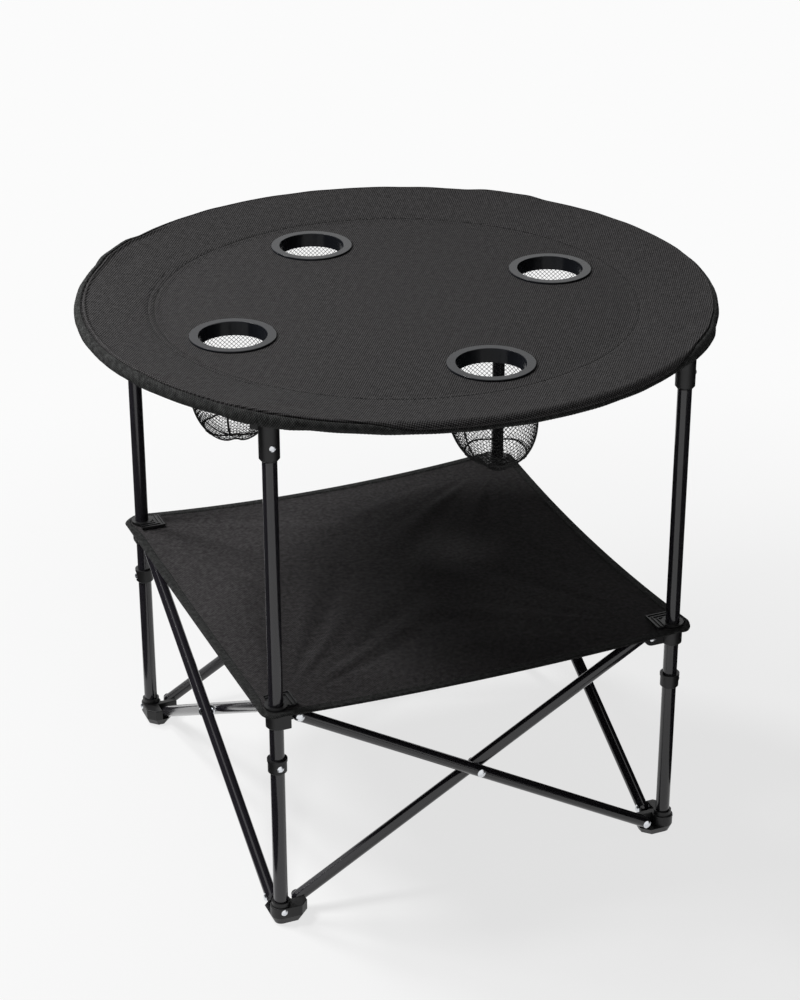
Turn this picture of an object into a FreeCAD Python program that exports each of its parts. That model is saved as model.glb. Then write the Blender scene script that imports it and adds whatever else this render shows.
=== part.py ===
import FreeCAD, Part
import math
import os

# Folding beach table: four legs, eight scissor bars, sliding brackets, a round cloth top
# with four cup holders and a square cloth shelf. Millimetres, +Z up, origin on the floor
# under the middle of the table, front side towards -Y.

# Overall sizes
table_height = 625.0
leg_spacing = 476.0
shelf_height = 273.0

# Leg tubes
leg_diameter = 16.0
leg_wall = 1.2

# Scissor bars, placed from the plane of two legs, and the room left round them
bar_diameter = 14.0
bar_wall = 1.2
bar_solid_end = 9.0
bar_end_gap = 5.3
bar_room = 0.5
bar_gap = 1.6
outer_offset = -2.65

# Rivets at the bar ends and crossings
rivet_shank_radius = 2.5
rivet_head_radius = 5.0
rivet_head_height = 2.2
rivet_tail_radius = 4.2
rivet_tail_height = 1.6
rivet_grip = 6.0
shoulder_radius = 5.5

# Ears that carry the bars
ear_thickness = 7.2
ear_below = 2.5
ear_above = 5.0
moulded_round = 1.0

# Feet
foot_socket_wall = 4.0
foot_neck_wall = 2.2
foot_neck_height = 5.5
foot_pad_height = 9.0
foot_pad_inset = 4.0
foot_wall_rise = 5.0
foot_end_margin = 5.5
foot_end_cut = 9.0
foot_web_width = 12.0
foot_floor = 4.0

# Brackets that slide on the legs and carry the shelf
bracket_wall = 3.5
bracket_skirt = 3.0
bracket_block_gap = 3.75
bracket_chamfer = 1.5
bracket_flange_wall = 6.0
bracket_flange_height = 3.0
bracket_neck_wall = 2.3
bracket_lip_wall = 4.6
bracket_lip_height = 2.8
plate_reach = 22.5
plate_back = 6.0
plate_thickness = 1.6
plate_ribs = 3
plate_rib_width = 1.3
plate_rib_pitch = 4.6

# Stop collars under the brackets
collar_wall = 2.5
collar_lip_wall = 3.2
collar_lip_height = 3.0
collar_length = 17.0
collar_drop = 40.0
collar_chamfer = 1.5

# Hubs at the top of the legs
hub_wall = 3.0
hub_length = 52.0
hub_top_gap = 8.0
hub_leg_depth = 45.0
hub_taper_width = 2.4
hub_taper_height = 3.0
hub_reach = 12.9
hub_rod_grip = 22.0
hub_rod_web = 4.0
hub_arm_length = 18.5
hub_arm_stub = 6.5
hub_arm_inward = 6.0
hub_arm_outward = 6.5
hub_arm_height = 18.0

# Screws that hold foot, collar and hub on the leg
screw_radius = 2.0
screw_head_radius = 3.8
screw_head_height = 1.9
screw_slot_width = 0.9
screw_slot_depth = 0.9
screw_tip = 1.5
foot_screw_drop = 5.0
collar_screw_drop = 9.0
hub_screw_rise = 17.0

# Cloth top, its hem and the rods in the hem
rim_rod_radius = 4.0
hem_wall = 1.7
cloth_thickness = 1.5
dish_depth = 12.0
dish_slope_width = 87.5
rod_end_gap = 1.0

# Cup holders
cup_inset = 146.5
cup_turn = 7.0
cup_bore_radius = 37.5
cup_wall = 2.0
cup_flange_width = 8.0
cup_flange_height = 2.2
cup_edge_round = 0.8
cup_collar_depth = 14.0
cup_snap_width = 5.0
cup_snap_height = 2.4
pocket_margin = 6.5
pocket_depth = 114.0
pocket_bottom_height = 55.0
pocket_thickness = 1.0
pocket_bottom_steps = 5

# Cloth shelf
shelf_thickness = 2.0
shelf_margin = 20.0
shelf_corner_radius = 20.0
shelf_edge_bow = 13.0

# Clearances
slide_clearance = 0.3
pin_clearance = 0.1
seat_clearance = 0.05
face_clearance = 0.3
cloth_gap = 0.2
cloth_seat = 0.1

corners = ["front_left", "front_right", "rear_right", "rear_left"]
sides = ["front", "right", "rear", "left"]

# Angle of the front left leg about the table's middle
leg_angle = 225.0

# Radii and places worked out from the sizes above
half = leg_spacing / 2
leg_radius = leg_diameter / 2
bar_radius = bar_diameter / 2
foot_socket_radius = leg_radius + foot_socket_wall
bracket_radius = leg_radius + bracket_wall
bracket_neck_radius = leg_radius + bracket_neck_wall
collar_radius = leg_radius + collar_wall
hub_radius = leg_radius + hub_wall
pivot_reach = foot_socket_radius + bar_end_gap + bar_radius
inner_offset = outer_offset + bar_diameter + bar_gap
inner_bar_back = inner_offset + bar_radius
outer_bar_back = outer_offset - bar_radius
inner_ear_face = inner_offset - bar_radius - face_clearance
outer_ear_face = outer_offset + bar_radius + face_clearance
low = foot_pad_height + bar_room + bar_radius
high = shelf_height - ear_above - bar_radius
span = leg_spacing - 2 * pivot_reach
bar_length = math.hypot(span, high - low)
lean = math.degrees(math.atan2(high - low, span))
foot_top = low + foot_wall_rise
foot_end = pivot_reach + foot_end_margin
foot_screw_height = foot_top - foot_screw_drop
bracket_bottom = high - bar_radius - bracket_skirt
collar_top = bracket_bottom - collar_drop
collar_screw_height = collar_top - collar_screw_drop
hub_top = table_height - hub_top_gap
hub_bottom = hub_top - hub_length
hub_screw_height = hub_bottom + hub_screw_rise
rim_roll_radius = rim_rod_radius + slide_clearance + hem_wall
hem_bore = rim_rod_radius + slide_clearance
leg_circle = half * math.sqrt(2)
rod_circle = leg_circle + hub_reach
rod_height = table_height - rim_roll_radius
top_radius = rod_circle + rim_roll_radius
dish_radius = rod_circle - dish_slope_width
flat_top = table_height - dish_depth
cloth_bottom = flat_top - cloth_thickness
cup_circle_radius = rod_circle - cup_inset
cup_angle = math.radians(270.0 + cup_turn)
cup_x = cup_circle_radius * math.cos(cup_angle)
cup_y = cup_circle_radius * math.sin(cup_angle)
cup_collar_radius = cup_bore_radius + cup_wall
pocket_radius = cup_collar_radius + pocket_margin
pocket_top = cloth_bottom - cloth_seat
pocket_hem_bottom = pocket_top - pocket_thickness
shelf_bottom = shelf_height + cloth_seat
shelf_top = shelf_bottom + shelf_thickness


def vec(x, y, z):
    return FreeCAD.Vector(x, y, z)


axis_y = vec(0, 1, 0)
axis_z = vec(0, 0, 1)


def upright(radius, bottom, top, x=-half, y=-half):
    return Part.makeCylinder(radius, top - bottom, vec(x, y, bottom))


# Upright cone on the front left leg's axis
def taper(lower_radius, upper_radius, bottom, top):
    return Part.makeCone(lower_radius, upper_radius, top - bottom, vec(-half, -half, bottom))


def between(radius, start, end):
    return Part.makeCylinder(radius, start.distanceToPoint(end), start, end - start)


# Box with all its edges rounded
def moulded_box(length, width, height, corner):
    box = Part.makeBox(length, width, height, corner)
    return box.makeFillet(moulded_round, box.Edges)


def dome(radius, height, base, direction):
    ball = (radius ** 2 + height ** 2) / (2 * height)
    cap = Part.makeSphere(ball, vec(0, 0, height - ball)).common(Part.makeCylinder(radius, height))
    cap.Placement = FreeCAD.Placement(base, FreeCAD.Rotation(axis_z, direction))
    return cap


def spun(points, degrees=360):
    wire = Part.makePolygon(points + [points[0]])
    return Part.Face(wire).revolve(vec(0, 0, 0), axis_z, degrees)


def turned(shape, degrees, centre=vec(0, 0, 0), axis=axis_z):
    copy = shape.copy()
    copy.rotate(centre, axis, degrees)
    return copy


# The second half of a corner is its first half mirrored in the corner's diagonal
def other_side(shape):
    return shape.mirror(vec(-half, -half, 0), vec(1, -1, 0))


def save(name, solids):
    shape = Part.makeCompound(solids) if len(solids) > 1 else solids[0]
    shape.exportStep("parts/" + name + ".step")


def save_each(names, suffix, solids):
    for index, name in enumerate(names):
        save(name + suffix, [turned(solid, 90 * index) for solid in solids])


def screw_hole(height, sleeve_radius):
    start = vec(-half, -half, height)
    end = start - axis_y * (sleeve_radius + screw_head_height)
    return between(screw_radius + seat_clearance, start, end)


# Hole for a rivet at a bar's end, from one depth across the front side to another
def rivet_hole(height, start_y, end_y):
    start = vec(-half + pivot_reach, -half + start_y, height)
    end = vec(-half + pivot_reach, -half + end_y, height)
    return between(rivet_shank_radius + pin_clearance, start, end)


def leg_tube():
    bottom = foot_floor + seat_clearance
    top = hub_bottom + hub_leg_depth
    tube = upright(leg_radius, bottom, top).cut(upright(leg_radius - leg_wall, bottom, top))
    for height in (foot_screw_height, collar_screw_height, hub_screw_height):
        tube = tube.cut(screw_hole(height, leg_radius))
    return tube


# Plan of a foot: round at the leg, a wing along each side, a web between the wings
def foot_outline(inset, height):
    near = foot_socket_radius - inset
    far = foot_end - inset
    web = foot_web_width - inset
    cut = foot_end_cut
    plan = [(0, -near), (far - cut, -near), (far, cut - near), (far, web),
            (web, far), (cut - near, far), (-near, far - cut), (-near, 0)]
    points = [vec(-half + x, -half + y, height) for x, y in plan]
    lines = [Part.LineSegment(start, end) for start, end in zip(points, points[1:])]
    round_middle = vec(-half - near * math.sqrt(0.5), -half - near * math.sqrt(0.5), height)
    lines.append(Part.Arc(points[-1], round_middle, points[0]))
    return Part.Wire([line.toShape() for line in lines])


def foot():
    sole = Part.makeLoft([foot_outline(foot_pad_inset, 0), foot_outline(0, foot_pad_height)], True, True)
    wall_height = foot_top - foot_pad_height
    block = Part.Face(foot_outline(0, foot_pad_height)).extrude(axis_z * wall_height)
    inner_wall = Part.makeBox(foot_end, foot_socket_radius + inner_ear_face, wall_height,
                              vec(-half, -half - foot_socket_radius, foot_pad_height))
    outer_wall = Part.makeBox(foot_socket_radius - outer_ear_face, foot_end, wall_height,
                              vec(-half + outer_ear_face, -half, foot_pad_height))
    walls = block.common(inner_wall.fuse(outer_wall))
    walls = walls.fuse(upright(foot_socket_radius, foot_pad_height, foot_top)).removeSplitter()
    rim = [edge for edge in walls.Edges if edge.BoundBox.ZMin > foot_top - moulded_round]
    walls = walls.makeFillet(moulded_round, rim)
    neck_top = foot_top + foot_neck_height
    shoe = sole.fuse(walls).fuse(upright(leg_radius + foot_neck_wall, foot_pad_height, neck_top))
    shoe = shoe.cut(upright(leg_radius + seat_clearance, foot_floor, neck_top))
    shoe = shoe.cut(rivet_hole(low, inner_ear_face, inner_ear_face - rivet_grip))
    shoe = shoe.cut(other_side(rivet_hole(low, outer_ear_face, outer_ear_face + rivet_grip)))
    return shoe.cut(screw_hole(foot_screw_height, foot_socket_radius)).removeSplitter()


# Bracket's ear towards the next corner: a wall behind the bar, round at the pivot end
def ear(front_y):
    front = -half + front_y
    bottom = high - bar_radius - ear_below
    end = -half + pivot_reach
    tip_radius = (shelf_height - bottom) / 2
    block = Part.makeBox(pivot_reach, ear_thickness, 2 * tip_radius, vec(-half, front, bottom))
    tip = vec(end, front, bottom + tip_radius)
    wall = block.fuse(between(tip_radius, tip, tip + axis_y * ear_thickness)).removeSplitter()
    round_end = [edge for edge in wall.Edges if edge.BoundBox.XMax > end]
    rim = [edge for edge in round_end if edge.BoundBox.YLength < moulded_round]
    return wall.makeFillet(moulded_round, rim)


# Plate over the shelf's corner, inward of the leg, with nested ribs along its two edges
def corner_plate(bottom):
    corner = vec(-half - plate_back, -half - plate_back, bottom)
    width = plate_reach + plate_back
    plate = Part.makeBox(width, width, plate_thickness, corner)
    for step in range(plate_ribs):
        outside = width - step * plate_rib_pitch
        inside = outside - plate_rib_width
        rib = Part.makeBox(outside, outside, bracket_lip_height, corner)
        plate = plate.fuse(rib.cut(Part.makeBox(inside, inside, bracket_lip_height, corner)))
    return plate


def bracket():
    lip_bottom = shelf_top + cloth_seat
    lip_top = lip_bottom + bracket_lip_height
    flange_bottom = shelf_height - bracket_flange_height
    skirt = bracket_bottom + bracket_chamfer
    body = upright(bracket_radius, skirt, shelf_height)
    body = body.fuse(taper(bracket_radius - bracket_chamfer, bracket_radius, bracket_bottom, skirt))
    body = body.fuse(upright(leg_radius + bracket_flange_wall, flange_bottom, shelf_height))
    body = body.fuse(ear(outer_ear_face)).fuse(other_side(ear(inner_ear_face - ear_thickness)))
    block_length = pivot_reach - bar_radius - bracket_block_gap
    body = body.fuse(moulded_box(block_length, bracket_radius, flange_bottom - bracket_bottom,
                                 vec(-half, -half - bracket_radius, bracket_bottom)))
    body = body.fuse(upright(bracket_neck_radius, shelf_height, lip_top))
    body = body.fuse(upright(leg_radius + bracket_lip_wall, lip_bottom, lip_top))
    body = body.fuse(corner_plate(lip_bottom))
    body = body.cut(upright(leg_radius + slide_clearance, bracket_bottom, lip_top))
    body = body.cut(rivet_hole(high, outer_ear_face, outer_ear_face + ear_thickness))
    inner_hole = rivet_hole(high, inner_ear_face - ear_thickness, inner_ear_face)
    return body.cut(other_side(inner_hole)).removeSplitter()


def stop_collar():
    bottom = collar_top - collar_length
    skirt = bottom + collar_chamfer
    lip_bottom = collar_top - collar_lip_height
    collar = upright(collar_radius, skirt, collar_top)
    collar = collar.fuse(upright(leg_radius + collar_lip_wall, lip_bottom, collar_top))
    collar = collar.fuse(taper(collar_radius - collar_chamfer, collar_radius, bottom, skirt))
    collar = collar.cut(upright(leg_radius + seat_clearance, bottom, collar_top))
    return collar.cut(screw_hole(collar_screw_height, collar_radius)).removeSplitter()


# Arc of round stock along the rim, from one angle about the table's middle to another
def rim_arc(radius, start, end):
    circle = Part.Wire(Part.makeCircle(radius, vec(rod_circle, 0, rod_height), axis_y))
    return turned(Part.Face(circle).revolve(vec(0, 0, 0), axis_z, end - start), start)


def rim_degrees(length):
    return math.degrees(length / rod_circle)


def hub():
    shoulder_height = hub_bottom + hub_taper_height
    body = upright(hub_radius, shoulder_height, hub_top)
    body = body.fuse(taper(hub_radius - hub_taper_width, hub_radius, hub_bottom, shoulder_height))
    arm = moulded_box(hub_arm_inward + hub_arm_outward, hub_arm_length + hub_arm_stub, hub_arm_height,
                      vec(leg_circle - hub_arm_inward, -hub_arm_length, hub_top - hub_arm_height))
    reach = rim_degrees(hub_rod_grip)
    web = rim_degrees(hub_rod_web / 2)
    body = body.fuse(turned(arm, leg_angle))
    body = body.fuse(rim_arc(rim_roll_radius, leg_angle - reach, leg_angle + reach))
    body = body.cut(upright(leg_radius + seat_clearance, hub_bottom, hub_bottom + hub_leg_depth))
    body = body.cut(rim_arc(hem_bore, leg_angle + web, leg_angle + reach))
    body = body.cut(rim_arc(hem_bore, leg_angle - reach, leg_angle - web))
    return body.cut(screw_hole(hub_screw_height, hub_radius)).removeSplitter()


# Pan-head screw that goes through a sleeve and the leg's wall, with its head on the sleeve
def screw(height, sleeve_radius):
    seat = vec(-half, -half - sleeve_radius, height)
    length = sleeve_radius - leg_radius + leg_wall + screw_tip
    shank = between(screw_radius, seat, seat + axis_y * length)
    head = dome(screw_head_radius, screw_head_height, seat, axis_y * -1)
    slot = Part.makeBox(2 * screw_head_radius, screw_slot_depth, screw_slot_width)
    slot.translate(seat - vec(screw_head_radius, screw_head_height, screw_slot_width / 2))
    cross = slot.fuse(turned(slot, 90, seat, axis_y))
    return head.fuse(shank).cut(cross)


def leg_screws():
    return [screw(foot_screw_height, foot_socket_radius),
            screw(collar_screw_height, collar_radius),
            screw(hub_screw_height, hub_radius)]


# Round bar along the front side, low at one leg and high at the other
def bar(offset, start_height, end_height, cross_clearance):
    start = vec(-half + pivot_reach, -half + offset, start_height)
    end = vec(half - pivot_reach, -half + offset, end_height)
    along = (end - start).normalize() * bar_solid_end
    shape = between(bar_radius, start, end)
    shape = shape.fuse(Part.makeSphere(bar_radius, start)).fuse(Part.makeSphere(bar_radius, end))
    shape = shape.cut(between(bar_radius - bar_wall, start + along, end - along))
    across = axis_y * bar_diameter
    for point in (start, end):
        shape = shape.cut(between(rivet_shank_radius + seat_clearance, point - across, point + across))
    middle = (start + end) / 2
    shape = shape.cut(between(rivet_shank_radius + cross_clearance, middle - across, middle + across))
    return shape.removeSplitter()


# Rivet across the front side, with its domed head at one depth and its shank to another
def rivet(x, height, head_y, end_y):
    head = vec(x, -half + head_y, height)
    end = vec(x, -half + end_y, height)
    cap = dome(rivet_head_radius, rivet_head_height, head, (head - end).normalize())
    return between(rivet_shank_radius, head, end).fuse(cap)


# Domed tail on the far end of a rivet
def rivet_tail(x, height, end_y, outward):
    return dome(rivet_tail_radius, rivet_tail_height, vec(x, -half + end_y, height), outward)


def crossing_rivet():
    height = (low + high) / 2
    near_face = vec(0, -half + outer_offset + bar_radius + pin_clearance, height)
    far_face = vec(0, -half + inner_offset - bar_radius - pin_clearance, height)
    shape = rivet(0, height, outer_bar_back - pin_clearance, inner_bar_back)
    shape = shape.fuse(between(shoulder_radius, near_face, far_face))
    return shape.fuse(rivet_tail(0, height, inner_bar_back, axis_y))


def inner_rivets():
    near = -half + pivot_reach
    far = half - pivot_reach
    ear_tail = inner_ear_face - ear_thickness - pin_clearance
    foot_end_rivet = rivet(near, low, inner_bar_back, inner_ear_face + pin_clearance - rivet_grip)
    bracket_end_rivet = rivet(far, high, inner_bar_back, ear_tail)
    bracket_end_rivet = bracket_end_rivet.fuse(rivet_tail(far, high, ear_tail, axis_y * -1))
    return [foot_end_rivet, bracket_end_rivet, crossing_rivet()]


def outer_rivets():
    near = -half + pivot_reach
    far = half - pivot_reach
    ear_tail = outer_ear_face + ear_thickness + pin_clearance
    bracket_end_rivet = rivet(near, high, outer_bar_back, ear_tail)
    bracket_end_rivet = bracket_end_rivet.fuse(rivet_tail(near, high, ear_tail, axis_y))
    foot_end_rivet = rivet(far, low, outer_bar_back, outer_ear_face + rivet_grip - pin_clearance)
    return [bracket_end_rivet, foot_end_rivet]


# Thin wall along a sector's edge, taken off so that two sectors don't touch
def sector_gap(degrees, reach, bottom, top):
    wall = Part.makeBox(reach, 2 * cloth_gap, top - bottom, vec(0, -cloth_gap, bottom))
    return turned(wall, degrees)


# Quarter of the cloth top on the front side, dished, with a tunnel hem round the rod
def top_sector():
    edge = rod_circle - cloth_thickness
    edge_top = rod_height + math.sqrt(rim_roll_radius ** 2 - cloth_thickness ** 2)
    upper = [vec(0, 0, flat_top), vec(dish_radius, 0, flat_top), vec(edge, 0, edge_top)]
    lower = [point - axis_z * cloth_thickness for point in reversed(upper)]
    cloth = turned(spun(upper + lower, 90), leg_angle)
    hem = rim_arc(rim_roll_radius, leg_angle, leg_angle + 90)
    cloth = cloth.fuse(hem).cut(rim_arc(hem_bore, leg_angle, leg_angle + 90))
    notch = rim_degrees(hub_rod_grip + face_clearance)
    for angle in (leg_angle, leg_angle + 90):
        cloth = cloth.cut(rim_arc(rim_roll_radius + face_clearance, angle - notch, angle + notch))
        cloth = cloth.cut(sector_gap(angle, top_radius, cloth_bottom, table_height))
    cup_hole = upright(cup_collar_radius + face_clearance, cloth_bottom, table_height, cup_x, cup_y)
    return cloth.cut(cup_hole)


def rim_rod():
    gap = rim_degrees(hub_rod_web / 2 + rod_end_gap)
    return rim_arc(rim_rod_radius, leg_angle + gap, leg_angle + 90 - gap)


def cup_ring():
    seat = flat_top + cloth_seat
    top = seat + cup_flange_height
    bottom = flat_top - cup_collar_depth
    ring = upright(cup_collar_radius + cup_flange_width, seat, top, cup_x, cup_y)
    ring = ring.fuse(upright(cup_collar_radius, bottom, seat, cup_x, cup_y))
    ring = ring.cut(upright(cup_bore_radius, bottom, top, cup_x, cup_y)).removeSplitter()
    rim = [edge for edge in ring.Edges if edge.BoundBox.ZMin > seat + cup_edge_round]
    return ring.makeFillet(cup_edge_round, rim)


def snap_ring():
    top = pocket_hem_bottom - cloth_seat
    bottom = top - cup_snap_height
    ring = upright(cup_collar_radius + cup_snap_width, bottom, top, cup_x, cup_y)
    return ring.cut(upright(cup_collar_radius + seat_clearance, bottom, top, cup_x, cup_y))


# Line from the middle of a pocket's round bottom up to where its wall goes straight
def pocket_line(radius, bottom):
    line = []
    straight = flat_top - pocket_depth + pocket_bottom_height
    for step in range(pocket_bottom_steps + 1):
        turn = math.pi / 2 * step / pocket_bottom_steps
        height = straight - (pocket_bottom_height - bottom) * math.cos(turn)
        line.append(vec(radius * math.sin(turn), 0, height))
    return line


# Mesh pocket: a straight wall over a round bottom, with a flat hem under the cloth
def cup_pocket():
    hem_radius = cup_collar_radius + face_clearance
    outside = pocket_line(pocket_radius, 0) + [vec(pocket_radius, 0, pocket_top)]
    hem = [vec(hem_radius, 0, pocket_top), vec(hem_radius, 0, pocket_hem_bottom)]
    wall = pocket_radius - pocket_thickness
    inside = [vec(wall, 0, pocket_hem_bottom)] + pocket_line(wall, pocket_thickness)[::-1]
    bag = spun(outside + hem + inside)
    bag.translate(vec(cup_x, cup_y, 0))
    return bag


# Triangle of the shelf on the front side, with a hollow front edge and round corners
def shelf_panel():
    out = half + shelf_margin
    tip = out - shelf_corner_radius * (1 - math.sqrt(0.5))
    flat = out - shelf_corner_radius
    arc_turn = math.radians((45 + 90) / 2)
    mid_x = flat + shelf_corner_radius * math.cos(arc_turn)
    mid_y = flat + shelf_corner_radius * math.sin(arc_turn)
    left_tip = vec(-tip, -tip, shelf_bottom)
    right_tip = vec(tip, -tip, shelf_bottom)
    left_flat = vec(-flat, -out, shelf_bottom)
    right_flat = vec(flat, -out, shelf_bottom)
    middle = vec(0, 0, shelf_bottom)
    outline = [Part.LineSegment(middle, left_tip),
               Part.Arc(left_tip, vec(-mid_x, -mid_y, shelf_bottom), left_flat),
               Part.Arc(left_flat, vec(0, shelf_edge_bow - out, shelf_bottom), right_flat),
               Part.Arc(right_flat, vec(mid_x, -mid_y, shelf_bottom), right_tip),
               Part.LineSegment(right_tip, middle)]
    wire = Part.Wire([curve.toShape() for curve in outline])
    panel = Part.Face(wire).extrude(axis_z * shelf_thickness)
    for x, angle in ((-half, leg_angle), (half, leg_angle + 90)):
        panel = panel.cut(upright(bracket_neck_radius + face_clearance, shelf_bottom, shelf_top, x))
        panel = panel.cut(sector_gap(angle, 2 * out, shelf_bottom, shelf_top))
    return panel


os.makedirs("parts", exist_ok=True)
save_each(corners, "_leg_tube", [leg_tube()])
save_each(corners, "_foot", [foot()])
save_each(corners, "_hub", [hub()])
save_each(corners, "_stop_collar", [stop_collar()])
save_each(corners, "_leg_screws", leg_screws())
save_each(corners, "_bracket", [bracket()])
save_each(sides, "_inner_bar", [bar(inner_offset, low, high, seat_clearance)])
save_each(sides, "_outer_bar", [bar(outer_offset, high, low, pin_clearance)])
save_each(sides, "_inner_rivets", inner_rivets())
save_each(sides, "_outer_rivets", outer_rivets())
save_each(sides, "_top_cloth", [top_sector()])
save_each(sides, "_rim_rod", [rim_rod()])
save_each(sides, "_cup_ring", [cup_ring(), snap_ring()])
save_each(sides, "_cup_pocket", [cup_pocket()])
save_each(sides, "_shelf_cloth", [shelf_panel()])

print("bar length", round(bar_length, 2), "lean", round(lean, 3), "pivot reach", round(pivot_reach, 2))
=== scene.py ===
import bpy
import math
import numpy as np
from mathutils import Matrix, Vector


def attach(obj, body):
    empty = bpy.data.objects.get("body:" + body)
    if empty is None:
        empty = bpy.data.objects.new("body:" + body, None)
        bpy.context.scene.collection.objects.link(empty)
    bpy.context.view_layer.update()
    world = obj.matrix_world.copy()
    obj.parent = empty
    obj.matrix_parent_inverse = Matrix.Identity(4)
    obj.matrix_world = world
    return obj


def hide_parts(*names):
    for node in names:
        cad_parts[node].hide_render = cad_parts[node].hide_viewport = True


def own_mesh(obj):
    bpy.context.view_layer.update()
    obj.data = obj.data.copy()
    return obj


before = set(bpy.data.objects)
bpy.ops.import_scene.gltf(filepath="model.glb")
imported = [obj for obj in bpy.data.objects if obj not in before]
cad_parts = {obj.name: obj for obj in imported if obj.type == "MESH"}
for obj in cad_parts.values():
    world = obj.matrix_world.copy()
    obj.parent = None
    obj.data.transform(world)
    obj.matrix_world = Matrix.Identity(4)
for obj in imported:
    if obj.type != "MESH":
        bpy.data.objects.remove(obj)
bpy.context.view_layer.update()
print("frame loaded,", len(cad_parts), "nodes")

sides = ["front", "right", "rear", "left"]

# sizes that the CAD source also has, in metres
table = {
    "half": 0.238,  # half the leg spacing
    "closedSpacing": 0.13603,  # leg spacing when folded
    "rodCircle": 0.34948,  # middle of the rim rods
    "rodHeight": 0.619,
    "flatTop": 0.613,  # dished middle of the top
    "dishRadius": 0.26198,
    "cupCircle": 0.20298,
    "cupTurn": 7.0,  # degrees
    "shelfTop": 0.2749,
}


# small tools for building pieces
def deselectAll():
    if bpy.context.object and bpy.context.object.mode != "OBJECT":
        bpy.ops.object.mode_set(mode="OBJECT")
    bpy.ops.object.select_all(action="DESELECT")


def makeActive(piece):
    deselectAll()
    piece.select_set(True)
    bpy.context.view_layer.objects.active = piece


def addGrid(name, columns, rows):
    deselectAll()
    bpy.ops.mesh.primitive_grid_add(x_subdivisions=columns, y_subdivisions=rows, size=2)
    piece = bpy.context.object
    piece.name = name
    piece.data.name = name
    return piece


def readCoords(piece):
    coords = np.zeros(len(piece.data.vertices) * 3)
    piece.data.vertices.foreach_get("co", coords)
    return coords.reshape(-1, 3)


def writeCoords(piece, coords):
    piece.data.vertices.foreach_set("co", np.asarray(coords, float).ravel())
    piece.data.update()


# shares across and along a fresh grid, 0 to 1
def gridShares(piece):
    coords = readCoords(piece)
    return (coords[:, 0] + 1) / 2, (coords[:, 1] + 1) / 2


def writeUv(piece, across, along):
    layer = piece.data.uv_layers[0]
    points = np.zeros(len(piece.data.loops), int)
    piece.data.loops.foreach_get("vertex_index", points)
    layer.data.foreach_set("uv", np.stack([across[points], along[points]], 1).ravel())


# runs one mesh operator on the whole of a piece
def editAll(piece, operator, **settings):
    makeActive(piece)
    bpy.ops.object.mode_set(mode="EDIT")
    bpy.ops.mesh.select_all(action="SELECT")
    operator(**settings)
    bpy.ops.object.mode_set(mode="OBJECT")


def mergeDoubles(piece, distance=0.00002):
    editAll(piece, bpy.ops.mesh.remove_doubles, threshold=distance)


def faceOutwards(piece):
    editAll(piece, bpy.ops.mesh.normals_make_consistent, inside=False)


def flipFaces(piece):
    editAll(piece, bpy.ops.mesh.flip_normals)


# turns a sheet over if the first of its faces look down
def faceUp(piece, count=200):
    if np.mean([face.normal.z for face in piece.data.polygons[:count]]) < 0:
        flipFaces(piece)


# the two ends of each edge, and how many faces use it
def edgeUses(mesh):
    ends = np.zeros(len(mesh.edges) * 2, int)
    mesh.edges.foreach_get("vertices", ends)
    edgeOf = np.zeros(len(mesh.loops), int)
    mesh.loops.foreach_get("edge_index", edgeOf)
    uses = np.zeros(len(mesh.edges), int)
    np.add.at(uses, edgeOf, 1)
    return ends.reshape(-1, 2), uses


# takes out the faces that test() picks by their middles
def deleteFaces(piece, test):
    mesh = piece.data
    middles = np.zeros(len(mesh.polygons) * 3)
    mesh.polygons.foreach_get("center", middles)
    picked = test(middles.reshape(-1, 3))
    mesh.vertices.foreach_set("select", np.zeros(len(mesh.vertices), bool))
    mesh.edges.foreach_set("select", np.zeros(len(mesh.edges), bool))
    mesh.polygons.foreach_set("select", picked)
    makeActive(piece)
    bpy.ops.object.mode_set(mode="EDIT")
    bpy.ops.mesh.select_mode(type="FACE")
    bpy.ops.mesh.delete(type="FACE")
    bpy.ops.object.mode_set(mode="OBJECT")


# round hole in a sheet: faces out, then the rim pulled onto the circle
def cutRound(piece, centre, radius):
    middle = np.array(centre)
    deleteFaces(piece, lambda c: np.hypot(c[:, 0] - middle[0], c[:, 1] - middle[1]) < radius)
    ends, uses = edgeUses(piece.data)
    rim = np.unique(ends[uses == 1])
    coords = readCoords(piece)
    offset = coords[rim, :2] - middle
    far = np.linalg.norm(offset, axis=1)
    near = (far < radius * 1.25) & (far > 0)
    picked = rim[near]
    coords[picked, :2] = middle + offset[near] / far[near][:, None] * radius
    writeCoords(piece, coords)


def applyModifiers(piece):
    makeActive(piece)
    for modifier in list(piece.modifiers):
        bpy.ops.object.modifier_apply(modifier=modifier.name)


def thicken(piece, thickness, offset=-1.0):
    wall = piece.modifiers.new("wall", "SOLIDIFY")
    wall.thickness = thickness
    wall.offset = offset
    applyModifiers(piece)


def smoothShade(piece, degrees=50.0):
    makeActive(piece)
    bpy.ops.object.shade_smooth_by_angle(angle=math.radians(degrees))


def joinPieces(pieces, name):
    deselectAll()
    for piece in pieces:
        piece.select_set(True)
    bpy.context.view_layer.objects.active = pieces[0]
    bpy.ops.object.join()
    piece = bpy.context.object
    piece.name = name
    piece.data.name = name
    return piece


def dress(piece, material, body, degrees=50.0):
    piece.data.materials.clear()
    piece.data.materials.append(material)
    smoothShade(piece, degrees)
    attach(piece, body)


def smoothStep(value, low, high):
    share = np.clip((value - low) / (high - low), 0, 1)
    return share * share * (3 - 2 * share)


def polar(reach, turn, height):
    return np.stack([reach * np.cos(turn), reach * np.sin(turn), 0 * turn + height], 1)


# turns points made for the front side onto side i
def turnTo(coords, i):
    turned = np.array(coords, float)
    c, s = math.cos(math.pi / 2 * i), math.sin(math.pi / 2 * i)
    turned[:, 0] = coords[:, 0] * c - coords[:, 1] * s
    turned[:, 1] = coords[:, 0] * s + coords[:, 1] * c
    return turned


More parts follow.
